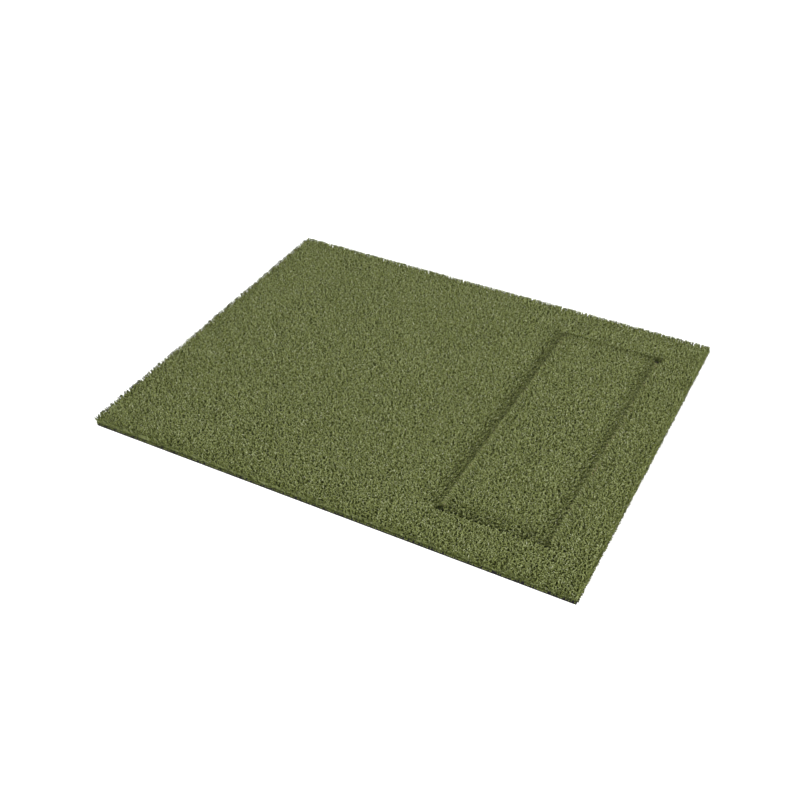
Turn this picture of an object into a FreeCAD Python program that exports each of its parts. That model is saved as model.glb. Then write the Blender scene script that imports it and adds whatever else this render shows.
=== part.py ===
"""Golf hitting mat: a stance mat of tufted turf with a drop-in hitting strip.

Millimetres. The origin is on the ground under the middle of the mat and +Z is up.
X runs along the long side, with the hitting strip towards +X, and +Y is the way the
ball leaves. From the ground up, the mat is a rubber base sheet, a foam pad, the back
coat and backing cloth of the turf, and the turf pile. The pad and the turf have a
window, the well, in which the hitting strip lies on the base sheet. The strip has
the same layers and is held down by hook and loop tapes.
"""

import FreeCAD, Part
import os

# The whole mat
MAT_LENGTH = 1524.0
MAT_WIDTH = 1211.0

# Layers of the mat, from the ground up
BASE_SHEET = 3.0
FOAM_PAD = 6.0
BACK_COAT = 2.0
BACKING_CLOTH = 1.0
TURF_PILE = 17.0

# The well, centred along the mat's width
WELL_WIDTH = 318.0
WELL_LENGTH = 944.0
WELL_TO_EDGE = 125.0

# The hitting strip in the well
STRIP_GAP = 1.0
STRIP_CORNER_RADIUS = 24.0

# Hook and loop tapes, laid across the strip
TAPE_COUNT = 4
TAPE_PITCH = 250.0
TAPE_WIDTH = 50.0
TAPE_LENGTH = 280.0
TAPE_THICKNESS = 1.0
TAPE_RECESS_GAP = 1.0

# Heights and places that follow from the sizes above
TOP_OF_BASE = BASE_SHEET
TOP_OF_PAD = TOP_OF_BASE + FOAM_PAD
TOP_OF_COAT = TOP_OF_PAD + BACK_COAT
TOP_OF_CLOTH = TOP_OF_COAT + BACKING_CLOTH
WELL_CENTRE_X = MAT_LENGTH / 2 - WELL_TO_EDGE - WELL_WIDTH / 2
STRIP_WIDTH = WELL_WIDTH - 2 * STRIP_GAP
STRIP_LENGTH = WELL_LENGTH - 2 * STRIP_GAP
LOOP_TAPE_BOTTOM = TOP_OF_BASE + TAPE_THICKNESS


def slab(size_x, size_y, bottom, thickness, centre_x=0.0, centre_y=0.0):
    """A flat rectangular sheet, given by its size, its underside and its middle."""
    corner = FreeCAD.Vector(centre_x - size_x / 2, centre_y - size_y / 2, bottom)
    return Part.makeBox(size_x, size_y, thickness, corner)


def upright_edges(solid):
    """The four corner edges of a slab, which run along Z."""
    return [edge for edge in solid.Edges if edge.BoundBox.ZLength > edge.BoundBox.DiagonalLength / 2]


def mat_layer(bottom, thickness):
    """A layer of the stance mat: the full outline with the well cut out."""
    sheet = slab(MAT_LENGTH, MAT_WIDTH, bottom, thickness)
    window = slab(WELL_WIDTH, WELL_LENGTH, bottom, thickness, WELL_CENTRE_X)
    return sheet.cut(window)


def strip_layer(bottom, thickness):
    """A layer of the hitting strip, with the rounded corners that leave room for a finger."""
    sheet = slab(STRIP_WIDTH, STRIP_LENGTH, bottom, thickness, WELL_CENTRE_X)
    return sheet.makeFillet(STRIP_CORNER_RADIUS, upright_edges(sheet))


def tape_places():
    """The middle of each tape along the strip, evenly spaced about the strip's own middle."""
    first = -TAPE_PITCH * (TAPE_COUNT - 1) / 2
    return [first + TAPE_PITCH * number for number in range(TAPE_COUNT)]


def tapes(bottom):
    """A set of tapes across the strip, as separate solids in one group."""
    pieces = [
        slab(TAPE_LENGTH, TAPE_WIDTH, bottom, TAPE_THICKNESS, WELL_CENTRE_X, place)
        for place in tape_places()
    ]
    return Part.makeCompound(pieces)


def strip_foam_pad():
    """The strip's pad rests on the base sheet and has a shallow recess over each pair of tapes."""
    pad = strip_layer(TOP_OF_BASE, FOAM_PAD)
    recess_length = TAPE_LENGTH + 2 * TAPE_RECESS_GAP
    recess_width = TAPE_WIDTH + 2 * TAPE_RECESS_GAP
    recess_depth = 2 * TAPE_THICKNESS
    for place in tape_places():
        recess = slab(recess_length, recess_width, TOP_OF_BASE, recess_depth, WELL_CENTRE_X, place)
        pad = pad.cut(recess)
    return pad


def sub_parts():
    """Every sub-part of the mat, by name, from the ground up."""
    return {
        "base_sheet": slab(MAT_LENGTH, MAT_WIDTH, 0.0, BASE_SHEET),
        "stance_foam_pad": mat_layer(TOP_OF_BASE, FOAM_PAD),
        "stance_back_coat": mat_layer(TOP_OF_PAD, BACK_COAT),
        "stance_backing_cloth": mat_layer(TOP_OF_COAT, BACKING_CLOTH),
        "stance_turf_pile": mat_layer(TOP_OF_CLOTH, TURF_PILE),
        "hook_tapes": tapes(TOP_OF_BASE),
        "strip_loop_tapes": tapes(LOOP_TAPE_BOTTOM),
        "strip_foam_pad": strip_foam_pad(),
        "strip_back_coat": strip_layer(TOP_OF_PAD, BACK_COAT),
        "strip_backing_cloth": strip_layer(TOP_OF_COAT, BACKING_CLOTH),
        "strip_turf_pile": strip_layer(TOP_OF_CLOTH, TURF_PILE),
    }


os.makedirs("parts", exist_ok=True)
for name, shape in sub_parts().items():
    shape.exportStep(os.path.join("parts", name + ".step"))
    print(name, len(shape.Solids), "solid(s)", round(shape.Volume / 1000), "cm3")
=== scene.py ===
"""Golf hitting mat: the turf, foam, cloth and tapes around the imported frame.

Metres, in the frame's own axes. The pile is real geometry: ribbon blades that stand in
rows on the backing cloth and bend over at their tips. The layers under the pile are
closed sheets with the well cut out of them. The pieces are placed by the frame's boxes.
Near is the mat's -Y end, far is +Y, left is -X and right is +X.
"""

import math
import bpy
import numpy as np
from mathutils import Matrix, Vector


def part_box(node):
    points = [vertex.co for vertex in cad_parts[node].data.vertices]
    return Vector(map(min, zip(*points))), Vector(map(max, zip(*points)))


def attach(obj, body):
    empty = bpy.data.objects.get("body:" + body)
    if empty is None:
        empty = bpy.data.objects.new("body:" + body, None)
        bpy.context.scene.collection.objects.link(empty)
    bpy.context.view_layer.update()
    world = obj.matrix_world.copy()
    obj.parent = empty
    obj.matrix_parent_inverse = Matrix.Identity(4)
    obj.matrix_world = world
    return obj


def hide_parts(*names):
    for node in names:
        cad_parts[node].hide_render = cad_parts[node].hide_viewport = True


MM = 0.001

# Camera, at the reference view's angle
CAMERA_AZIMUTH = math.radians(27.743)
CAMERA_ELEVATION = math.radians(38.0)
CAMERA_DISTANCE = 3.433
CAMERA_TARGET = (-0.015, -0.0737, 0.0)
CAMERA_LENS_MM = 50.0
SENSOR_WIDTH_MM = 36.0

# Light and floor. The floor lies just below the mat, so that their faces don't meet.
WORLD_STRENGTH = 1.0
KEY_FROM = (-1.2, -0.4, 2.4)
KEY_STRENGTH = 2.0
KEY_ANGLE = math.radians(8.0)
FLOOR_HALF_SIZE = 30.0
FLOOR_DROP = 0.2 * MM
FLOOR_WHITE = 0.9
FLOOR_GLOW = 0.8

# The strip's corners, the gap around it, and its tapes, as in the frame
STRIP_GAP = 1.0 * MM
STRIP_CORNER_RADIUS = 24.0 * MM
TAPE_COUNT = 4
TAPE_PITCH = 250.0 * MM
TAPE_WIDTH = 50.0 * MM
RECESS_GAP = 1.0 * MM

# Hooks and loops of the tapes, which stand on a thin web
TAPE_WEB = 0.35 * MM
HOOK_PITCH = 1.9 * MM
HOOK_WIDTH = 0.45 * MM
LOOP_SPAN = 1.2 * MM
LOOP_STEPS = 4

# Flat layers: their grid, and their cut edges as (share of the thickness, outward offset)
CELL = 12.0 * MM
CORNER_STEPS = 8
ARC_ROOM = 10.0 * MM
EDGE_WAVE = 0.3 * MM
EDGE_WAVE_SIZE = (7.0 * MM, 9.0 * MM)
EDGE_WAVE_PHASE = 1.0
FOAM_EDGE = ((0.0, -0.3 * MM), (0.15, 0.0), (0.5, -0.5 * MM), (0.85, 0.0), (1.0, -0.3 * MM))
COAT_EDGE = ((0.0, -0.4 * MM), (0.3, 0.0), (0.7, 0.0), (1.0, -0.4 * MM))
CLOTH_EDGE = ((0.0, -0.2 * MM), (0.5, 0.1 * MM), (1.0, -0.2 * MM))

# The four sides of a grid cell: start corner, end corner and the step to the cell beyond
CELL_SIDES = (
    ((0, 0), (1, 0), (0, -1)),
    ((1, 0), (1, 1), (1, 0)),
    ((1, 1), (0, 1), (0, 1)),
    ((0, 1), (0, 0), (-1, 0)),
)

# Colour and size of grain of the layers under the pile. GRAIN_LEVELS are the values of the
# grain's texture that get its dark and its light shade.
GRAIN_LEVELS = (0.3, 0.7)
PAD_FOAM = ((0.008, 0.008, 0.009), 0.9 * MM)
STRIP_FOAM = ((0.022, 0.022, 0.024), 1.3 * MM)
LATEX = ((0.010, 0.010, 0.009), 1.2 * MM)
WEAVE = ((0.020, 0.026, 0.010), 1.7 * MM)
HOOK_NYLON = ((0.020, 0.020, 0.021), 0.8 * MM)
LOOP_NYLON = ((0.028, 0.028, 0.029), 0.6 * MM)
RUBBER = ((0.006, 0.006, 0.007), 2.0 * MM)

# Rows of the pile: how the blades stand in them
SEED = 20
ROW_PITCH = (2.8 * MM, 3.8 * MM)
ROW_JITTER = 0.15
EDGE_MARGIN = 0.8 * MM
UNLIKE_NEIGHBOURS = 1.0
HEADING_SPREAD = 0.35
BLADES_PER_PIECE = 19500

# One blade: a ribbon with cross-sections at shares of its length. Angles are in radians.
# Its bend and its narrowing go with a power of the share. Its curl is full from the share
# CURL_FULL_AT on, and UPRIGHT_CURL times as much up and down. Where its width would lie
# closer to its own line than LEAST_FACING, it narrows.
BLADE_RINGS = (0.0, 0.45, 0.62, 0.76, 0.88, 1.0)
BLADE_WIDTH = 2.6 * MM
WIDTH_RANGE = (0.8, 1.2)
TIP_NARROWING = 0.6
NARROWING_POWER = 3
BLADE_LENGTH = 19.0 * MM
LENGTH_RANGE = (0.9, 1.0)
START_LEAN = 0.12
LEAN_SPREAD = 0.10
TIP_ANGLE = (0.7, 1.6)
TIP_FOLLOWS_LEAN = 0.6
BEND_POWER = 2
CURL = (0.3 * MM, 0.8 * MM)
CURL_TURNS = (1.5, 2.5)
CURL_FULL_AT = 0.5
UPRIGHT_CURL = 0.5
FACING_SPREAD = 0.15
TWIST = 0.4
LEAST_FACING = 0.2

# The pile at the mat's outer edges: lean, length, tone darkened as painted shade, and painted light on
# the blades' lower sides
EDGE_LEAN_FAR = 0.30
EDGE_LEAN_LEFT = 0.05
EDGE_LEAN_FRONT = 0.10
EDGE_REACH = 12.0 * MM
FAR_EXTRA = 0.13
EDGE_SHADE = 0.08
RIGHT_SHADE = 0.05
BORDER = 70.0 * MM
BORDER_SHADE = 0.05
PAINTED_EDGE_LIGHT = 0.92
PAINTED_EDGE_LIGHT_REACH = 28.0 * MM

# Slopes of the pile down to the four seams. The left one is on the stance, and the other
# three are on the strip. Shares are of SLOPE_DIP, and a pair goes from left to right.
# Sunken blades are coloured as lower in the pile, so the slopes, partings and corner openings carry
# painted shade.
SLOPE_DIP = 0.165
SLOPE_LEAN = 0.25
NEAR_SLOPE_LEAN = 0.075
LEFT_SLOPE = 58.0 * MM
RIGHT_SLOPE = 50.0 * MM
NEAR_SLOPE = 70.0 * MM
FAR_SLOPE = 50.0 * MM
NEAR_SLOPE_SHARE = (0.3, 0.5)
FAR_SLOPE_SHARE = 0.6

# How the pile parts right beside the seams. A pair goes from near to far on the two long
# seams, and from left to right on the two short ones.
SEAM_DIP = 0.30
SEAM_LEAN = 0.4
SEAM_REACH = 4.0 * MM
NEAR_SEAM_REACH = 8.0 * MM
STANCE_LEFT_PARTING = (1.4, 0.6)
STANCE_NEAR_PARTING = (1.0, 1.4)
STANCE_FAR_PARTING = (0.0, 1.0)
STRIP_LEFT_PARTING = (0.0, 1.2)
STRIP_RIGHT_PARTING = (1.2, 1.2)
STRIP_NEAR_PARTING = (0.2, 0.7)
STRIP_FAR_PARTING = (0.0, 1.0)
OVERHANG = (0.36, 0.05)
OVERHANG_REACH = 35.0 * MM

# Openings at the well's corners: share of its width and length, offset from there in X
# and Y, depth, parting and radius
CORNERS = (
    (0.0, 0.0, -3.0 * MM, 2.0 * MM, 0.50, 0.7, 20.0 * MM),
    (1.0, 1.0, -1.0 * MM, -7.0 * MM, 0.55, 0.7, 23.0 * MM),
    (1.0, 0.0, -4.0 * MM, 4.0 * MM, 0.25, 0.0, 24.0 * MM),
)

# Ragged blades along the mat's outline. FRINGE_LEAN_MOST and HANGING_SHARE have a value
# for the far and left sides, then one for the near and right sides. Other pairs are ranges.
FRINGE_PITCH = 1.0 * MM
FRINGE_DEPTH = 3.5 * MM
FRINGE_PAINTED_LIGHT = 0.75
FRINGE_LEAN_LEAST = 0.1
FRINGE_LEAN_MOST = (0.9, 0.5)
FRINGE_SPREAD = 0.2
FRINGE_TIP = (0.2, 1.1)
FRINGE_LENGTH = (17.0 * MM, 22.5 * MM)
FRONT_TONES = (0.05, 0.65)
RIGHT_FRINGE_SHADE = 0.25
HANGING_SHARE = (0.3, 0.45)
HANGING_TONES = (0.0, 0.25)
HANGING_LEAN = (1.0, 1.5)
HANGING_TIP = 2.3
HANGING_LENGTH = (6.0 * MM, 10.0 * MM)

# Colour of a blade. The UV map holds a tint in U, in columns, and the height in V.
UV_LAYER = "OFBake"
TINTS = 64
TINT_HALF_WIDTH = 0.3
HEIGHT_RANGE = (0.02, 0.98)
GREENS = (0.0, 0.77)
BROWNS = (0.82, 0.90)
# The greys are painted shade, for the fringe at the mat's far and left sides.
PAINTED_SHADE_GREYS = (0.95, 1.0)
TINT_COLOURS = (
    (0.00, (0.10, 0.12, 0.02)),
    (0.35, (0.26, 0.30, 0.09)),
    (0.60, (0.42, 0.47, 0.23)),
    (0.78, (0.65, 0.68, 0.46)),
    (0.80, (0.22, 0.18, 0.08)),
    (0.91, (0.36, 0.30, 0.16)),
    (0.93, (0.06, 0.07, 0.035)),
    (1.00, (0.12, 0.14, 0.08)),
)
# Colours by height darken a blade towards its root, as painted shade down in the pile.
PAINTED_PILE_SHADE = (
    (0.00, (0.08, 0.09, 0.03)),
    (0.65, (0.28, 0.29, 0.14)),
    (0.82, (0.85, 0.85, 0.80)),
    (1.00, (1.0, 1.0, 1.0)),
)
ROOT_ROUGHNESS = 0.75
TIP_ROUGHNESS = 0.45
KEEL_DEPTH = 0.8 * MM
MEAN_TONE = 0.38
TONE_SPREAD = 0.15
BROWN_SHARE = 0.12
BROWN_REACH = 12.0 * MM

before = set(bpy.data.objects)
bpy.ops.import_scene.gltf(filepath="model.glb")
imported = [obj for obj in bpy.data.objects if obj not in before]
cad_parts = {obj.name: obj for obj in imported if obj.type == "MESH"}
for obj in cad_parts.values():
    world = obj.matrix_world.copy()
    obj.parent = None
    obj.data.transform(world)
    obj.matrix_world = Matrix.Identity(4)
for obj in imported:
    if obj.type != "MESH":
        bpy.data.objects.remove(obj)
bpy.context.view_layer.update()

mat_low, mat_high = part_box("stance_turf_pile")
strip_low, strip_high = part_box("strip_turf_pile")
ROOT_Z = mat_low.z
STRIP_MIDDLE = 0.5 * (strip_low + strip_high)
STRIP_HALF = 0.5 * (strip_high - strip_low)
WELL_LOW = Vector((strip_low.x - STRIP_GAP, strip_low.y - STRIP_GAP))
WELL_HIGH = Vector((strip_high.x + STRIP_GAP, strip_high.y + STRIP_GAP))


# ---------------------------------------------------------------- camera, light, floor

def add_to_scene(name, data):
    """A new object in the scene, from a mesh, a camera or a light."""
    thing = bpy.data.objects.new(name, data)
    bpy.context.scene.collection.objects.link(thing)
    return thing


def add_camera():
    """The camera looks at a point on the ground near the middle of the mat."""
    data = bpy.data.cameras.new("camera")
    data.lens = CAMERA_LENS_MM
    data.sensor_width = SENSOR_WIDTH_MM
    camera = add_to_scene("camera", data)
    back = Vector((
        math.sin(CAMERA_AZIMUTH) * math.cos(CAMERA_ELEVATION),
        -math.cos(CAMERA_AZIMUTH) * math.cos(CAMERA_ELEVATION),
        math.sin(CAMERA_ELEVATION),
    ))
    camera.location = Vector(CAMERA_TARGET) + CAMERA_DISTANCE * back
    camera.rotation_euler = (math.pi / 2 - CAMERA_ELEVATION, 0.0, CAMERA_AZIMUTH)
    bpy.context.scene.camera = camera


def add_key():
    """A soft distant light from the upper left."""
    data = bpy.data.lights.new("key", "SUN")
    data.angle = KEY_ANGLE
    data.energy = KEY_STRENGTH
    light = add_to_scene("key", data)
    light.rotation_euler = (-Vector(KEY_FROM)).to_track_quat("-Z", "Y").to_euler()


def add_world():
    """An even white studio all around."""
    world = bpy.data.worlds.new("studio")
    world.use_nodes = True
    background = world.node_tree.nodes["Background"]
    background.inputs["Color"].default_value = (1.0, 1.0, 1.0, 1.0)
    background.inputs["Strength"].default_value = WORLD_STRENGTH
    bpy.context.scene.world = world
    bpy.context.scene.view_settings.view_transform = "Standard"


def add_floor():
    """A white floor that glows a little, so that it stays white right up to the mat."""
    mesh = bpy.data.meshes.new("floor")
    s = FLOOR_HALF_SIZE
    corners = [(x, y, -FLOOR_DROP) for x, y in ((-s, -s), (s, -s), (s, s), (-s, s))]
    mesh.from_pydata(corners, [], [(0, 1, 2, 3)])
    floor = add_to_scene("floor", mesh)
    material = new_material("floor_white", roughness=0.9)
    shader = shader_of(material)
    shader.inputs["Base Color"].default_value = (FLOOR_WHITE, FLOOR_WHITE, FLOOR_WHITE, 1.0)
    shader.inputs["Emission Color"].default_value = (1.0, 1.0, 1.0, 1.0)
    shader.inputs["Emission Strength"].default_value = FLOOR_GLOW
    mesh.materials.append(material)


# ---------------------------------------------------------------- materials

def new_material(name, roughness, specular=0.5):
    """A material with one shader, its roughness and its specular level."""
    material = bpy.data.materials.new(name)
    material.use_nodes = True
    shader = shader_of(material)
    shader.inputs["Roughness"].default_value = roughness
    shader.inputs["Specular IOR Level"].default_value = specular
    return material


def shader_of(material):
    """The material's one shader."""
    return material.node_tree.nodes["Principled BSDF"]


def ramp(tree, stops):
    """A colour ramp through (position, colour) stops."""
    node = tree.nodes.new("ShaderNodeValToRGB")
    elements = node.color_ramp.elements
    while len(elements) < len(stops):
        elements.new(0.5)
    for element, (position, colour) in zip(elements, stops):
        element.position = position
        element.color = (*colour, 1.0)
    return node


def tones(colour, dark, light):
    """Ramp stops from a darker to a lighter shade of a colour."""
    shades = [tuple(share * c for c in colour) for share in (dark, light)]
    return list(zip(GRAIN_LEVELS, shades))


def link_colour(tree, value, stops, shader):
    """Colours the shader from a value, through a ramp."""
    colour = ramp(tree, stops)
    tree.links.new(value, colour.inputs["Fac"])
    tree.links.new(colour.outputs["Color"], shader.inputs["Base Color"])


def link_bump(tree, height, shader, strength, distance):
    """Bumps the shader's surface by a height."""
    bump = tree.nodes.new("ShaderNodeBump")
    bump.inputs["Strength"].default_value = strength
    bump.inputs["Distance"].default_value = distance
    tree.links.new(height, bump.inputs["Height"])
    tree.links.new(bump.outputs["Normal"], shader.inputs["Normal"])


def object_place(tree):
    """The place on the object, in metres."""
    return tree.nodes.new("ShaderNodeTexCoord").outputs["Object"]


def keel(tree, u):
    """Height of the fold along the middle of a blade, from a place's U in its tint column."""
    column = tree.nodes.new("ShaderNodeMath")
    column.operation = "MULTIPLY"
    column.inputs[1].default_value = TINTS
    tree.links.new(u, column.inputs[0])
    fold = tree.nodes.new("ShaderNodeMath")
    fold.operation = "PINGPONG"
    fold.inputs[1].default_value = 0.5
    tree.links.new(column.outputs["Value"], fold.inputs[0])
    return fold.outputs["Value"]


def turf_material():
    """Blade colour: the blade's own tint along U, darker towards its root along V, as painted shade
    down in the pile.

    The blade is folded along its middle, and its root is duller than its tip.
    """
    material = new_material("turf_yarn", TIP_ROUGHNESS, specular=0.3)
    shader = shader_of(material)
    tree = material.node_tree
    place = tree.nodes.new("ShaderNodeUVMap")
    place.uv_map = UV_LAYER
    split = tree.nodes.new("ShaderNodeSeparateXYZ")
    tree.links.new(place.outputs["UV"], split.inputs["Vector"])
    tint = ramp(tree, TINT_COLOURS)
    height = ramp(tree, PAINTED_PILE_SHADE)
    tree.links.new(split.outputs["X"], tint.inputs["Fac"])
    tree.links.new(split.outputs["Y"], height.inputs["Fac"])
    mix = tree.nodes.new("ShaderNodeMix")
    mix.data_type = "RGBA"
    mix.blend_type = "MULTIPLY"
    mix.inputs["Factor"].default_value = 1.0
    tree.links.new(tint.outputs["Color"], mix.inputs["A"])
    tree.links.new(height.outputs["Color"], mix.inputs["B"])
    tree.links.new(mix.outputs["Result"], shader.inputs["Base Color"])
    dull = tree.nodes.new("ShaderNodeMapRange")
    dull.inputs["To Min"].default_value = ROOT_ROUGHNESS
    dull.inputs["To Max"].default_value = TIP_ROUGHNESS
    tree.links.new(split.outputs["Y"], dull.inputs["Value"])
    tree.links.new(dull.outputs["Result"], shader.inputs["Roughness"])
    link_bump(tree, keel(tree, split.outputs["X"]), shader, strength=1.0, distance=KEEL_DEPTH)
    return material


def grainy_material(name, look, roughness):
    """Rubber, latex or nylon: nearly black, with a fine uneven grain."""
    colour, grain_size = look
    material = new_material(name, roughness, specular=0.2)
    shader = shader_of(material)
    tree = material.node_tree
    noise = tree.nodes.new("ShaderNodeTexNoise")
    noise.inputs["Scale"].default_value = 1.0 / grain_size
    noise.inputs["Detail"].default_value = 4.0
    tree.links.new(object_place(tree), noise.inputs["Vector"])
    link_colour(tree, noise.outputs["Fac"], tones(colour, dark=0.7, light=1.35), shader)
    link_bump(tree, noise.outputs["Fac"], shader, strength=0.4, distance=0.3 * MM)
    return material


def foam_material(name, look):
    """Closed-cell foam: a cut face shows its bubbles as small cups, darker inside as painted shade,
    with paler rims as painted light.
    """
    colour, bubble_size = look
    material = new_material(name, roughness=0.85, specular=0.1)
    shader = shader_of(material)
    tree = material.node_tree
    bubbles = tree.nodes.new("ShaderNodeTexVoronoi")
    bubbles.feature = "F1"
    bubbles.inputs["Scale"].default_value = 1.0 / bubble_size
    tree.links.new(object_place(tree), bubbles.inputs["Vector"])
    link_colour(tree, bubbles.outputs["Distance"], tones(colour, dark=0.6, light=1.8), shader)
    link_bump(tree, bubbles.outputs["Distance"], shader, strength=0.8, distance=0.5 * MM)
    return material


def weave_material(name, look):
    """Plain weave: warp and weft tapes that pass over each other in turn, painted darker where they lie
    low, as shade.

    At a scale of 1, the bands of a wave texture are 2 pi / 20 apart.
    """
    colour, pitch = look
    material = new_material(name, roughness=0.6, specular=0.4)
    shader = shader_of(material)
    tree = material.node_tree
    place = object_place(tree)
    ridges = []
    for direction in ("X", "Y"):
        wave = tree.nodes.new("ShaderNodeTexWave")
        wave.bands_direction = direction
        wave.inputs["Scale"].default_value = 2.0 * math.pi / (20.0 * pitch)
        wave.inputs["Distortion"].default_value = 0.4
        wave.inputs["Detail Scale"].default_value = 0.2
        tree.links.new(place, wave.inputs["Vector"])
        ridges.append(wave.outputs["Fac"])
    over = tree.nodes.new("ShaderNodeTexChecker")
    over.inputs["Scale"].default_value = 1.0 / pitch
    tree.links.new(place, over.inputs["Vector"])
    height = tree.nodes.new("ShaderNodeMix")
    tree.links.new(over.outputs["Fac"], height.inputs["Factor"])
    tree.links.new(ridges[0], height.inputs["A"])
    tree.links.new(ridges[1], height.inputs["B"])
    link_colour(tree, height.outputs["Result"], tones(colour, dark=0.5, light=1.5), shader)
    link_bump(tree, height.outputs["Result"], shader, strength=0.8, distance=0.3 * MM)
    return material


# ---------------------------------------------------------------- pieces

def simple_piece(name, points, faces, material):
    """A piece from lists of points and faces."""
    mesh = bpy.data.meshes.new(name)
    mesh.from_pydata(points, [], faces)
    mesh.materials.append(material)
    return add_to_scene(name, mesh)


def belongs(piece, body, node):
    """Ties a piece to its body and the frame's node that it stands for."""
    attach(piece, body)
    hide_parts(node)


def inside_well(x, y, margin=0.0):
    """Whether a place is in the well or closer to it than the margin."""
    return (
        (x > WELL_LOW.x - margin) & (x < WELL_HIGH.x + margin)
        & (y > WELL_LOW.y - margin) & (y < WELL_HIGH.y + margin)
    )


# ---------------------------------------------------------------- flat layers

def lines(stops, spacing):
    """Grid lines through every stop, about a spacing apart."""
    result = [stops[0]]
    for low, high in zip(stops, stops[1:]):
        steps = max(1, round((high - low) / spacing))
        result += [low + (high - low) * step / steps for step in range(1, steps + 1)]
    return result


def stance_grid():
    """Grid corners of a stance layer, and the cells outside the well."""
    x = np.array(lines([mat_low.x, WELL_LOW.x, WELL_HIGH.x, mat_high.x], CELL))
    y = np.array(lines([mat_low.y, WELL_LOW.y, WELL_HIGH.y, mat_high.y], CELL))
    place = np.stack(np.meshgrid(x, y, indexing="ij"), axis=-1)
    middle = 0.5 * (place[1:, 1:] + place[:-1, :-1])
    kept = ~inside_well(middle[..., 0], middle[..., 1])
    return place, kept


def strip_grid(recess_x=None, recess_y=()):
    """Grid corners of a strip layer, and its cells. The outer rows follow the rounded corners.

    Grid lines also run along the recesses' ends, at -recess_x and recess_x from the
    strip's middle, and along their sides, at each recess_y.
    """
    radius = STRIP_CORNER_RADIUS
    turn = 0.5 * math.pi * np.arange(1, CORNER_STEPS + 1) / CORNER_STEPS
    arc = STRIP_HALF.x - radius + radius * np.sin(turn)
    flat = lines([radius - STRIP_HALF.x, STRIP_HALF.x - radius], CELL)
    beyond = sorted(arc if recess_x is None else [*arc, recess_x])
    x = np.array([-v for v in reversed(beyond)] + flat + beyond)
    fixed = STRIP_HALF.y - radius - ARC_ROOM
    y = np.array(lines(sorted([-STRIP_HALF.y, -fixed, *recess_y, fixed, STRIP_HALF.y]), CELL))
    past_corner = np.maximum(np.abs(x) - (STRIP_HALF.x - radius), 0.0)
    reach = STRIP_HALF.y - radius + np.sqrt(np.maximum(radius ** 2 - past_corner ** 2, 0.0))
    over = np.maximum(np.abs(y) - fixed, 0.0)
    stretch = (reach - fixed)[:, None] / (STRIP_HALF.y - fixed)
    y_bent = np.sign(y)[None, :] * (np.minimum(np.abs(y), fixed)[None, :] + over[None, :] * stretch)
    place = np.stack([np.broadcast_to(x[:, None], y_bent.shape), y_bent], axis=-1)
    kept = np.ones((len(x) - 1, len(y) - 1), dtype=bool)
    return place + np.array(STRIP_MIDDLE.xy), kept


def layer(name, place, kept, low, high, profile, material):
    """A closed sheet from a grid of corners. low is one height, or one for each cell.

    profile lists (share of the thickness, outward offset) up the cut edge.
    """
    low = np.broadcast_to(low, kept.shape)
    inside = np.pad(kept, 1)
    points = []
    numbers = {}
    faces = []

    def point(key, x, y, z):
        if key not in numbers:
            numbers[key] = len(points)
            points.append((x, y, z))
        return numbers[key]

    sides = []
    outward = {}
    for i, j in zip(*np.nonzero(kept)):
        for start, end, step in CELL_SIDES:
            if not inside[i + 1 + step[0], j + 1 + step[1]]:
                a = (i + start[0], j + start[1])
                b = (i + end[0], j + end[1])
                along = place[b] - place[a]
                normal = np.array([along[1], -along[0]]) / np.linalg.norm(along)
                sides.append((a, b, low[i, j]))
                outward[a] = outward.get(a, 0.0) + normal
                outward[b] = outward.get(b, 0.0) + normal
    wave = {}
    for key in outward:
        outward[key] = outward[key] / np.linalg.norm(outward[key])
        x, y = place[key]
        wave[key] = EDGE_WAVE * math.sin(x / EDGE_WAVE_SIZE[0])
        wave[key] *= math.sin(y / EDGE_WAVE_SIZE[1] + EDGE_WAVE_PHASE)

    def edge_point(key, level, bottom):
        share, offset = profile[level]
        x, y = place[key] + outward[key] * (offset + wave[key])
        return point((key, level, bottom), x, y, bottom + share * (high - bottom))

    def flat_point(key, z, level, bottom):
        if key in outward:
            return edge_point(key, level, bottom)
        return point((key, z), place[key][0], place[key][1], z)

    for i, j in zip(*np.nonzero(kept)):
        loop = [(i, j), (i + 1, j), (i + 1, j + 1), (i, j + 1)]
        bottom = low[i, j]
        faces.append([flat_point(key, high, len(profile) - 1, bottom) for key in loop])
        faces.append([flat_point(key, bottom, 0, bottom) for key in reversed(loop)])
        for start, end, step in CELL_SIDES:
            other = (i + step[0], j + step[1])
            if inside[other[0] + 1, other[1] + 1] and low[other] > bottom:
                a = (i + start[0], j + start[1])
                b = (i + end[0], j + end[1])
                heights = ((a, bottom), (b, bottom), (b, low[other]), (a, low[other]))
                faces.append([point((key, z), *place[key], z) for key, z in heights])
    for a, b, bottom in sides:
        for level in range(len(profile) - 1):
            corners = ((a, level), (b, level), (b, level + 1), (a, level + 1))
            faces.append([edge_point(key, k, bottom) for key, k in corners])
    return simple_piece(name, points, faces, material)


def add_backing(prefix, body, grid, latex, cloth):
    """The back coat of the stance or of the strip, and the backing cloth laid on it.

    The strip's lie at the same heights as the stance's.
    """
    coat_low, coat_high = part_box("stance_back_coat")
    cloth_low, cloth_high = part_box("stance_backing_cloth")
    coat = layer(prefix + "_coat", *grid, coat_low.z, coat_high.z, COAT_EDGE, latex)
    belongs(coat, body, prefix + "_back_coat")
    sheet = layer(prefix + "_cloth", *grid, cloth_low.z, cloth_high.z, CLOTH_EDGE, cloth)
    belongs(sheet, body, prefix + "_backing_cloth")


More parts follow.
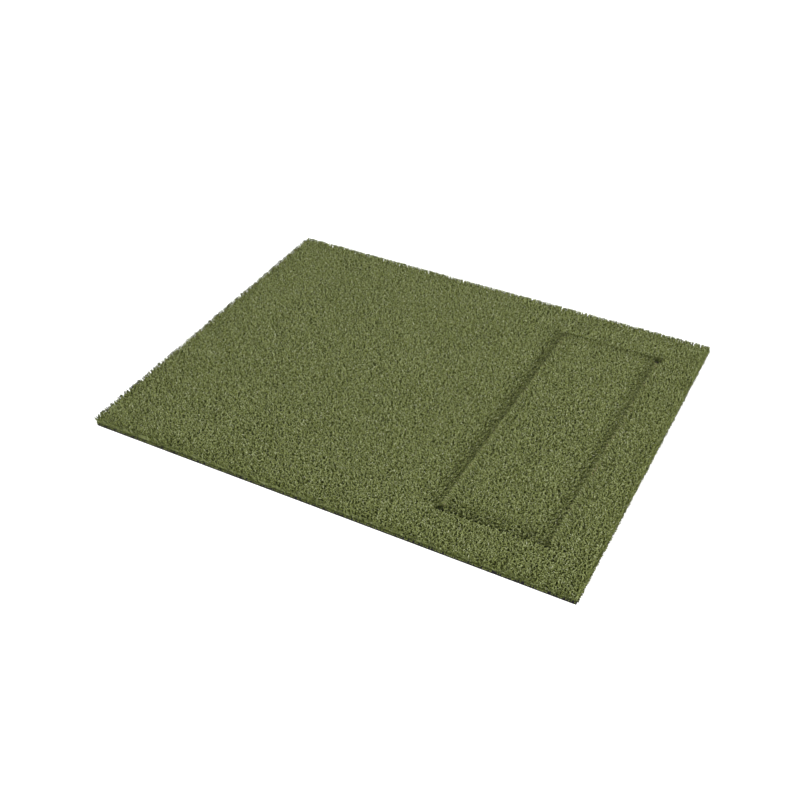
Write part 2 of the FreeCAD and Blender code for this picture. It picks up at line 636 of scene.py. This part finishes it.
def add_layers():
    """Foam pads, back coats and backing cloths of the stance and of the strip."""
    foam = foam_material("pad_foam", PAD_FOAM)
    soft_foam = foam_material("strip_foam", STRIP_FOAM)
    latex = grainy_material("latex_coat", LATEX, roughness=0.7)
    cloth = weave_material("backing_weave", WEAVE)

    grid = stance_grid()
    add_stance_foam(grid, foam)
    add_backing("stance", "mat", grid, latex, cloth)

    add_backing("strip", "strip", strip_grid(), latex, cloth)
    add_strip_foam(soft_foam)


def add_stance_foam(grid, material):
    """The stance's pad, with the well cut out of it."""
    pad_low, pad_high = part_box("stance_foam_pad")
    pad = layer("stance_foam", *grid, pad_low.z, pad_high.z, FOAM_EDGE, material)
    belongs(pad, "mat", "stance_foam_pad")


def add_strip_foam(material):
    """The strip's pad, with a shallow recess over each pair of tapes."""
    pad_low, pad_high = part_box("strip_foam_pad")
    tape_low, tape_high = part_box("strip_loop_tapes")
    recesses = [(low - RECESS_GAP, high + RECESS_GAP) for low, high in tape_places()]
    half = 0.5 * (tape_high.x - tape_low.x) + RECESS_GAP
    place, kept = strip_grid(half, [edge - STRIP_MIDDLE.y for recess in recesses for edge in recess])
    centre = 0.25 * (place[1:, 1:] + place[:-1, :-1] + place[1:, :-1] + place[:-1, 1:])
    low = np.full(kept.shape, pad_low.z)
    for start, end in recesses:
        over_tape = np.abs(centre[..., 0] - STRIP_MIDDLE.x) < half
        over_tape &= (centre[..., 1] > start) & (centre[..., 1] < end)
        low[over_tape] = tape_high.z
    pad = layer("strip_foam", place, kept, low, pad_high.z, FOAM_EDGE, material)
    belongs(pad, "strip", "strip_foam_pad")


# ---------------------------------------------------------------- tapes

def tape_places():
    """Where each tape starts and ends along Y."""
    first = STRIP_MIDDLE.y - 0.5 * TAPE_PITCH * (TAPE_COUNT - 1)
    centres = [first + TAPE_PITCH * number for number in range(TAPE_COUNT)]
    return [(centre - 0.5 * TAPE_WIDTH, centre + 0.5 * TAPE_WIDTH) for centre in centres]


def add_web(points, faces, low, high):
    """A thin box between two corners, added to lists of points and faces."""
    first = len(points)
    outline = ((low[0], low[1]), (high[0], low[1]), (high[0], high[1]), (low[0], high[1]))
    points += [(x, y, z) for z in (low[2], high[2]) for x, y in outline]
    faces += [[first + k for k in (3, 2, 1, 0)], [first + k for k in (4, 5, 6, 7)]]
    for k in range(4):
        after = (k + 1) % 4
        faces.append([first + k, first + after, first + 4 + after, first + 4 + k])


def add_yarn(points, faces, x, y, way, shape):
    """One bent ribbon of yarn, added to lists of points and faces."""
    first = len(points)
    for along, z in shape:
        points += [(x + way * along, y + side * 0.5 * HOOK_WIDTH, z) for side in (-1.0, 1.0)]
    for k in range(len(shape) - 1):
        n = first + 2 * k
        faces.append([n, n + 1, n + 3, n + 2])


def add_tapes(name, node, body, web, shape, material):
    """Tapes with a field of small bent yarns. shape lists (along, height) of one yarn."""
    tape_low, tape_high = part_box(node)
    inner_length = tape_high.x - tape_low.x - 2 * HOOK_PITCH
    inner_width = TAPE_WIDTH - 2 * HOOK_PITCH
    columns = int(inner_length / HOOK_PITCH)
    rows = int(inner_width / HOOK_PITCH)
    points = []
    faces = []
    for start, end in tape_places():
        add_web(points, faces, (tape_low.x, start, web[0]), (tape_high.x, end, web[1]))
        for i in range(columns + 1):
            for j in range(rows + 1):
                x = tape_low.x + HOOK_PITCH + inner_length * i / columns
                y = start + HOOK_PITCH + inner_width * j / rows
                way = 1.0 if (i + j) % 2 else -1.0
                add_yarn(points, faces, x, y, way, shape)
    piece = simple_piece(name, points, faces, material)
    belongs(piece, body, node)


def hook_shape(bottom, top):
    """A hook: up from the web, over and a little back down."""
    rise = top - bottom
    return [
        (0.0, bottom),
        (0.05 * MM, bottom + 0.6 * rise),
        (0.25 * MM, bottom + 0.95 * rise),
        (0.55 * MM, top),
        (0.80 * MM, bottom + 0.75 * rise),
    ]


def loop_shape(web, tip):
    """A loop: out of the web towards the hooks and back to it."""
    shares = [step / LOOP_STEPS for step in range(LOOP_STEPS + 1)]
    return [(LOOP_SPAN * (s - 0.5), web + (tip - web) * math.sin(math.pi * s)) for s in shares]


def add_fasteners():
    """Hook tapes on the floor of the well, and loop tapes under the strip."""
    nylon = grainy_material("hook_nylon", HOOK_NYLON, roughness=0.5)
    fleece = grainy_material("loop_nylon", LOOP_NYLON, roughness=0.8)
    low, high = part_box("hook_tapes")
    web = (low.z, low.z + TAPE_WEB)
    hook = hook_shape(web[1], high.z)
    add_tapes("hook_strips", "hook_tapes", "mat", web, hook, nylon)
    low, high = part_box("strip_loop_tapes")
    web = (high.z - TAPE_WEB, high.z)
    loop = loop_shape(web[0], low.z)
    add_tapes("loop_strips", "strip_loop_tapes", "strip", web, loop, fleece)


# ---------------------------------------------------------------- pile: where the blades stand

# A set of blades is a dictionary with an array for each property: place, where a blade is
# rooted; tone, its tint from 0 to 1; lean, its angle from upright at the root, in X and Y;
# heading, the way that it bends of its own accord; length; tip, its angle from upright at
# the tip; low, the share of its length that is sunken, which also paints it darker as shade;
# and its painted light, the least height, from 0 to 1, that any place on it is coloured for,
# so that blades open at the mat's edges are painted lighter low down.


def uneven(rng, shape):
    """Random values on a grid, each unlike its neighbours, with a spread of about 1."""
    value = rng.normal(0.0, 1.0, shape)
    ring = np.pad(value, 1, mode="reflect")
    near = 0.25 * (ring[2:, 1:-1] + ring[:-2, 1:-1] + ring[1:-1, 2:] + ring[1:-1, :-2])
    return (value - UNLIKE_NEIGHBOURS * near) / math.sqrt(1.0 + 0.25 * UNLIKE_NEIGHBOURS ** 2)


def pick(blades, index):
    """Some of a set of blades."""
    return {key: value[index] for key, value in blades.items()}


def joined(first, second):
    """Two sets of blades as one."""
    return {key: np.concatenate([first[key], second[key]]) for key in first}


def rooted_rows(rng, low, high):
    """Blades on a jittered grid over a rectangle, each unlike the blades around it."""
    columns = int((high.x - low.x) / ROW_PITCH[0])
    rows = int((high.y - low.y) / ROW_PITCH[1])
    x = low.x + (np.arange(columns) + 0.5) * (high.x - low.x) / columns
    y = low.y + (np.arange(rows) + 0.5) * (high.y - low.y) / rows
    place = np.stack(np.meshgrid(x, y, indexing="ij"), axis=-1)
    place += rng.uniform(-ROW_JITTER, ROW_JITTER, place.shape) * np.array(ROW_PITCH)
    lean = LEAN_SPREAD * np.stack([uneven(rng, place.shape[:2]), uneven(rng, place.shape[:2])], axis=-1)
    quarter = (np.arange(columns)[:, None] + 2 * np.arange(rows)[None, :]) % 4
    tone = MEAN_TONE + TONE_SPREAD * uneven(rng, quarter.shape)
    heading = 0.5 * math.pi * quarter + rng.normal(0.0, HEADING_SPREAD, quarter.shape)
    count = quarter.size
    return {
        "place": place.reshape(count, 2),
        "tone": tone.reshape(count),
        "lean": lean.reshape(count, 2),
        "heading": heading.reshape(count),
        "length": BLADE_LENGTH * rng.uniform(*LENGTH_RANGE, count),
        "tip": rng.uniform(*TIP_ANGLE, count),
        "low": np.zeros(count),
        "painted_light": np.zeros(count),
    }


def fringe_places(rng):
    """Places along the mat's outline, and the way out of the mat at each."""
    size = mat_high - mat_low
    sides = (
        (Vector((mat_low.x, mat_low.y)), Vector((size.x, 0.0)), Vector((0.0, -1.0))),
        (Vector((mat_high.x, mat_low.y)), Vector((0.0, size.y)), Vector((1.0, 0.0))),
        (Vector((mat_high.x, mat_high.y)), Vector((-size.x, 0.0)), Vector((0.0, 1.0))),
        (Vector((mat_low.x, mat_high.y)), Vector((0.0, -size.y)), Vector((-1.0, 0.0))),
    )
    place = []
    outward = []
    for corner, run, out in sides:
        count = int(run.length / FRINGE_PITCH)
        share = (np.arange(count) + rng.uniform(0.0, 1.0, count)) / count
        inside = rng.uniform(EDGE_MARGIN, FRINGE_DEPTH, count)
        along = np.array(corner) + share[:, None] * np.array(run)
        place.append(along - inside[:, None] * np.array(out))
        outward.append(np.broadcast_to(np.array(out), (count, 2)))
    place = np.concatenate(place)
    place[:, 0] = np.clip(place[:, 0], mat_low.x + EDGE_MARGIN, mat_high.x - EDGE_MARGIN)
    place[:, 1] = np.clip(place[:, 1], mat_low.y + EDGE_MARGIN, mat_high.y - EDGE_MARGIN)
    return place, np.concatenate(outward)


def fringe(rng):
    """Ragged blades along the mat's outline. Some stand, others hang over the cloth. Along the far and
    left sides they are painted grey and along the right side darker, as painted shade, and all of them
    have painted light on their lower part.
    """
    place, outward = fringe_places(rng)
    count = len(place)
    in_front = outward[:, 0] - outward[:, 1] > 0.0
    on_right = outward[:, 0] > 0.0
    hangs = rng.random(count) < np.where(in_front, HANGING_SHARE[1], HANGING_SHARE[0])
    most_lean = np.where(in_front, FRINGE_LEAN_MOST[1], FRINGE_LEAN_MOST[0])
    lean = np.where(hangs, rng.uniform(*HANGING_LEAN, count), rng.uniform(FRINGE_LEAN_LEAST, most_lean))
    sideways = rng.normal(0.0, FRINGE_SPREAD, (count, 1))
    along = sideways * np.stack([-outward[:, 1], outward[:, 0]], axis=1)
    front_tone = np.where(hangs, rng.uniform(*HANGING_TONES, count), rng.uniform(*FRONT_TONES, count))
    front_tone = np.maximum(front_tone - RIGHT_FRINGE_SHADE * on_right, 0.0)
    return {
        "place": place,
        "tone": np.where(in_front, front_tone, rng.uniform(*PAINTED_SHADE_GREYS, count)),
        "lean": outward * lean[:, None] + along,
        "heading": rng.uniform(0.0, 2.0 * math.pi, count),
        "length": np.where(
            hangs, rng.uniform(*HANGING_LENGTH, count), rng.uniform(*FRINGE_LENGTH, count)
        ),
        "tip": np.where(hangs, HANGING_TIP, rng.uniform(*FRINGE_TIP, count)),
        "low": np.zeros(count),
        "painted_light": np.full(count, FRINGE_PAINTED_LIGHT),
    }


def keep_stance(x, y):
    """Inside the mat's outline and outside the well."""
    on_mat = (
        (x > mat_low.x + EDGE_MARGIN) & (x < mat_high.x - EDGE_MARGIN)
        & (y > mat_low.y + EDGE_MARGIN) & (y < mat_high.y - EDGE_MARGIN)
    )
    return on_mat & ~inside_well(x, y, EDGE_MARGIN)


def keep_strip(x, y):
    """Inside the strip's outline, with its rounded corners."""
    radius = STRIP_CORNER_RADIUS
    over_x = np.abs(x - STRIP_MIDDLE.x) - (STRIP_HALF.x - radius)
    over_y = np.abs(y - STRIP_MIDDLE.y) - (STRIP_HALF.y - radius)
    out = np.hypot(np.maximum(over_x, 0.0), np.maximum(over_y, 0.0))
    return (np.maximum(over_x, over_y) < radius - EDGE_MARGIN) & (out < radius - EDGE_MARGIN)


# ---------------------------------------------------------------- pile: edges and seams

def smooth_fall(distance, width):
    """1 at an edge, easing to 0 at a distance of width from it."""
    t = np.clip(1.0 - distance / width, 0.0, 1.0)
    return t * t * (3.0 - 2.0 * t)


def between(ends, share):
    """The value a share of the way from one end to the other."""
    return ends[0] + (ends[1] - ends[0]) * share


def along_length(y):
    """0 at the well's near end and 1 at its far end."""
    return np.clip((y - WELL_LOW.y) / (WELL_HIGH.y - WELL_LOW.y), 0.0, 1.0)


def along_width(x):
    """0 at the well's left side and 1 at its right side."""
    return np.clip((x - WELL_LOW.x) / (WELL_HIGH.x - WELL_LOW.x), 0.0, 1.0)


def sink_corners(blades):
    """Sinks the pile around the corners of the well and parts it there. The sunken blades are painted
    darker, as shade.
    """
    for share_x, share_y, offset_x, offset_y, depth, parting, radius in CORNERS:
        open_x = WELL_LOW.x + share_x * (WELL_HIGH.x - WELL_LOW.x) + offset_x
        open_y = WELL_LOW.y + share_y * (WELL_HIGH.y - WELL_LOW.y) + offset_y
        away = blades["place"] - np.array([open_x, open_y])
        distance = np.linalg.norm(away, axis=1)
        near = smooth_fall(distance, radius)
        blades["low"] += depth * near
        blades["lean"] += (parting * near / np.maximum(distance, 1e-6))[:, None] * away


def part(blades, axis, distance, way, strength, reach=SEAM_REACH):
    """Sinks the pile beside a seam and leans it away, so that the seam opens. The sunken blades are
    painted darker, as shade.
    """
    near = smooth_fall(distance, reach) * (distance > 0.0) * strength
    blades["low"] += SEAM_DIP * near
    blades["lean"][:, axis] += way * SEAM_LEAN * near


def overhang(blades, distance):
    """Leans the pile just right of a long seam over it, less and less along the seam."""
    near = smooth_fall(distance, OVERHANG_REACH) * (distance > 0.0)
    blades["lean"][:, 0] -= between(OVERHANG, along_length(blades["place"][:, 1])) * near


def bend_stance(blades):
    """Leans the stance pile out at the mat's edges and sinks it along the seams."""
    bend_outline(blades)
    x, y = blades["place"].T
    beside = (y > WELL_LOW.y) & (y < WELL_HIGH.y)
    over = (x > WELL_LOW.x) & (x < WELL_HIGH.x)
    length = along_length(y)
    width = along_width(x)
    left = smooth_fall(WELL_LOW.x - x, LEFT_SLOPE) * (beside & (x < WELL_LOW.x))
    blades["low"] += SLOPE_DIP * left
    blades["lean"][:, 0] += SLOPE_LEAN * left
    overhang(blades, np.where(beside, x - WELL_HIGH.x, 0.0))
    part(blades, 0, WELL_LOW.x - x, -1.0, beside * between(STANCE_LEFT_PARTING, length))
    part(blades, 1, WELL_LOW.y - y, -1.0, over * between(STANCE_NEAR_PARTING, width), NEAR_SEAM_REACH)
    part(blades, 1, y - WELL_HIGH.y, 1.0, over * between(STANCE_FAR_PARTING, width))
    sink_corners(blades)


def bend_outline(blades):
    """Leans and lengthens the pile at the mat's outer edges, darkens its tone there as painted shade,
    and paints light onto the lower part of the blades along the near and right edges.
    """
    x, y = blades["place"].T
    lean = blades["lean"]
    lean[:, 0] += EDGE_LEAN_FRONT * smooth_fall(mat_high.x - x, EDGE_REACH)
    lean[:, 0] -= EDGE_LEAN_LEFT * smooth_fall(x - mat_low.x, EDGE_REACH)
    lean[:, 1] += EDGE_LEAN_FAR * smooth_fall(mat_high.y - y, EDGE_REACH)
    lean[:, 1] -= EDGE_LEAN_FRONT * smooth_fall(y - mat_low.y, EDGE_REACH)
    to_back = np.minimum(x - mat_low.x, mat_high.y - y)
    to_front = np.minimum(mat_high.x - x, y - mat_low.y)
    to_edge = np.minimum(to_back, to_front)
    blades["length"] *= 1.0 + FAR_EXTRA * smooth_fall(mat_high.y - y, EDGE_REACH)
    # Painted light on the lower part of the blades along the near and right edges.
    blades["painted_light"] = PAINTED_EDGE_LIGHT * smooth_fall(to_front, PAINTED_EDGE_LIGHT_REACH)
    # Painted shade: the tone darkens at the far and left edges, all round the border and at the right
    # edge.
    blades["tone"] -= EDGE_SHADE * smooth_fall(to_back, EDGE_REACH)
    blades["tone"] -= BORDER_SHADE * smooth_fall(to_edge, BORDER)
    blades["tone"] -= RIGHT_SHADE * smooth_fall(mat_high.x - x, EDGE_REACH)


def bend_strip(blades):
    """Leans and sinks the strip's pile along the seams."""
    x, y = blades["place"].T
    length = along_length(y)
    width = along_width(x)
    right = smooth_fall(strip_high.x - x, RIGHT_SLOPE)
    near = smooth_fall(y - strip_low.y, NEAR_SLOPE)
    far = smooth_fall(strip_high.y - y, FAR_SLOPE)
    blades["lean"][:, 0] += SLOPE_LEAN * right
    blades["lean"][:, 1] -= NEAR_SLOPE_LEAN * near
    ends = np.maximum(between(NEAR_SLOPE_SHARE, width) * near, FAR_SLOPE_SHARE * far)
    blades["low"] += SLOPE_DIP * np.maximum(right, ends)
    overhang(blades, x - strip_low.x)
    part(blades, 0, x - strip_low.x, 1.0, between(STRIP_LEFT_PARTING, length))
    part(blades, 0, strip_high.x - x, -1.0, between(STRIP_RIGHT_PARTING, length))
    part(blades, 1, y - strip_low.y, 1.0, between(STRIP_NEAR_PARTING, width))
    part(blades, 1, strip_high.y - y, -1.0, between(STRIP_FAR_PARTING, width))
    sink_corners(blades)


def turn_brown(rng, blades):
    """Some yarns beside the long seams are thatch brown."""
    x, y = blades["place"].T
    to_seam = np.minimum(np.abs(x - WELL_LOW.x), np.abs(x - WELL_HIGH.x))
    chance = BROWN_SHARE * smooth_fall(to_seam, BROWN_REACH) * (y > WELL_LOW.y) * (y < WELL_HIGH.y)
    brown = rng.random(len(x)) < chance
    blades["tone"] = np.where(brown, rng.uniform(*BROWNS, len(x)), np.clip(blades["tone"], *GREENS))


# ---------------------------------------------------------------- pile: the blades themselves

def centre_lines(rng, blades):
    """The middle line of each blade, and the level direction across its bend."""
    s = np.array(BLADE_RINGS)
    count = len(blades["tone"])
    length = blades["length"] * (1.0 - blades["low"])
    curl = rng.uniform(*CURL, count)[:, None] * np.minimum(1.0, s / CURL_FULL_AT)[None, :]
    own_way = START_LEAN * np.stack([np.cos(blades["heading"]), np.sin(blades["heading"])], axis=1)
    bend = blades["lean"] + own_way
    start_angle = np.linalg.norm(bend, axis=1)
    heading = bend / np.maximum(start_angle, 1e-6)[:, None]
    tip_angle = blades["tip"] + TIP_FOLLOWS_LEAN * start_angle
    middle = 0.5 * (s[1:] + s[:-1])
    added_angle = (tip_angle - start_angle)[:, None] * middle[None, :] ** BEND_POWER
    angle = start_angle[:, None] + added_angle
    step = length[:, None] * np.diff(s)[None, :]
    along = np.hstack([np.zeros((count, 1)), np.cumsum(np.sin(angle) * step, axis=1)])
    up = np.hstack([np.zeros((count, 1)), np.cumsum(np.cos(angle) * step, axis=1)])
    phase = rng.uniform(0.0, 2.0 * math.pi, (count, 3, 1))
    turn = 2.0 * math.pi * rng.uniform(*CURL_TURNS, (count, 1)) * s[None, :]
    across = np.stack([-heading[:, 1], heading[:, 0]], axis=1)
    centre = np.zeros((count, len(s), 3))
    centre[:, :, :2] = blades["place"][:, None, :]
    centre[:, :, :2] += (along + curl * np.sin(turn + phase[:, 1]))[:, :, None] * heading[:, None, :]
    centre[:, :, :2] += (curl * np.sin(turn + phase[:, 0]))[:, :, None] * across[:, None, :]
    centre[:, :, 2] = ROOT_Z + up + UPRIGHT_CURL * curl * np.sin(turn + phase[:, 2])
    return centre, across


def grow(rng, blades):
    """Vertices of ribbon blades, each rings x 2 points, and their UVs.

    U picks the blade's tint. V is how far up in the pile a place is, and sets its painted shade: the
    tips of sunken blades count as low, so they are painted darker, and no place counts as lower than
    the painted light of its blade.
    """
    s = np.array(BLADE_RINGS)
    count = len(blades["tone"])
    width = BLADE_WIDTH * rng.uniform(*WIDTH_RANGE, count)
    centre, across = centre_lines(rng, blades)
    tangent = np.gradient(centre, axis=1)
    tangent /= np.linalg.norm(tangent, axis=2, keepdims=True)
    twist = rng.normal(0.0, FACING_SPREAD, (count, 1)) + rng.normal(0.0, TWIST, (count, 1)) * s
    facing = np.arctan2(across[:, 1], across[:, 0])[:, None] + twist
    flat = np.stack([np.cos(facing), np.sin(facing), np.zeros_like(facing)], axis=2)
    side = flat - np.sum(flat * tangent, axis=2, keepdims=True) * tangent
    side /= np.maximum(np.linalg.norm(side, axis=2, keepdims=True), LEAST_FACING)
    half_width = 0.5 * width[:, None] * (1.0 - TIP_NARROWING * s[None, :] ** NARROWING_POWER)
    offset = side * half_width[:, :, None]
    points = np.stack([centre - offset, centre + offset], axis=2)
    tint = (blades["tone"] * (TINTS - 1)).round()
    in_column = 0.5 + np.array([-TINT_HALF_WIDTH, TINT_HALF_WIDTH])
    height = np.maximum(s[None, :] * (1.0 - blades["low"])[:, None], blades["painted_light"][:, None])
    uv = np.empty((count, len(s), 2, 2))
    uv[:, :, :, 0] = (tint[:, None, None] + in_column[None, None, :]) / TINTS
    uv[:, :, :, 1] = between(HEIGHT_RANGE, height)[:, :, None]
    return points, uv


def blade_piece(name, points, uv, material):
    """One piece from the vertices and UVs of many blades."""
    count, rings = points.shape[:2]
    quads = np.array([[2 * k, 2 * k + 1, 2 * k + 3, 2 * k + 2] for k in range(rings - 1)])
    corners = (np.arange(count)[:, None, None] * 2 * rings + quads[None, :, :]).reshape(-1)
    mesh = bpy.data.meshes.new(name)
    mesh.vertices.add(points.size // 3)
    mesh.vertices.foreach_set("co", points.reshape(-1).astype(np.float32))
    mesh.loops.add(len(corners))
    mesh.loops.foreach_set("vertex_index", corners.astype(np.int32))
    mesh.polygons.add(len(corners) // 4)
    mesh.polygons.foreach_set("loop_start", np.arange(0, len(corners), 4, dtype=np.int32))
    mesh.update(calc_edges=True)
    mesh.polygons.foreach_set("use_smooth", np.ones(len(mesh.polygons), dtype=bool))
    layer_uv = mesh.uv_layers.new(name=UV_LAYER)
    layer_uv.data.foreach_set("uv", uv.reshape(-1, 2)[corners].reshape(-1).astype(np.float32))
    mesh.materials.append(material)
    mesh.update()
    return add_to_scene(name, mesh)


def add_pile(rng, blades, node, body, material):
    """Grows the pile of one node as several pieces, in bands along X."""
    blades = pick(blades, np.argsort(blades["place"][:, 0]))
    count = len(blades["tone"])
    bands = int(math.ceil(count / BLADES_PER_PIECE))
    for number, band in enumerate(np.array_split(np.arange(count), bands), start=1):
        points, uv = grow(rng, pick(blades, band))
        piece = blade_piece(f"{node}_{number:02d}", points, uv, material)
        belongs(piece, body, node)


def add_piles():
    """The pile of the stance, with its fringe, and the pile of the strip."""
    rng = np.random.default_rng(SEED)
    material = turf_material()
    stance = rooted_rows(rng, mat_low, mat_high)
    stance = pick(stance, keep_stance(*stance["place"].T))
    bend_stance(stance)
    turn_brown(rng, stance)
    stance = joined(stance, fringe(rng))
    add_pile(rng, stance, "stance_turf_pile", "mat", material)
    strip = rooted_rows(rng, strip_low, strip_high)
    strip = pick(strip, keep_strip(*strip["place"].T))
    bend_strip(strip)
    turn_brown(rng, strip)
    add_pile(rng, strip, "strip_turf_pile", "strip", material)


def paint_base():
    """The base sheet is the frame's own node, in moulded rubber."""
    rubber = grainy_material("base_rubber", RUBBER, roughness=0.8)
    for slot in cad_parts["base_sheet"].material_slots:
        slot.link = "OBJECT"
        slot.material = rubber


add_camera()
add_world()
add_floor()
add_key()
add_layers()
add_fasteners()
add_piles()
paint_base()
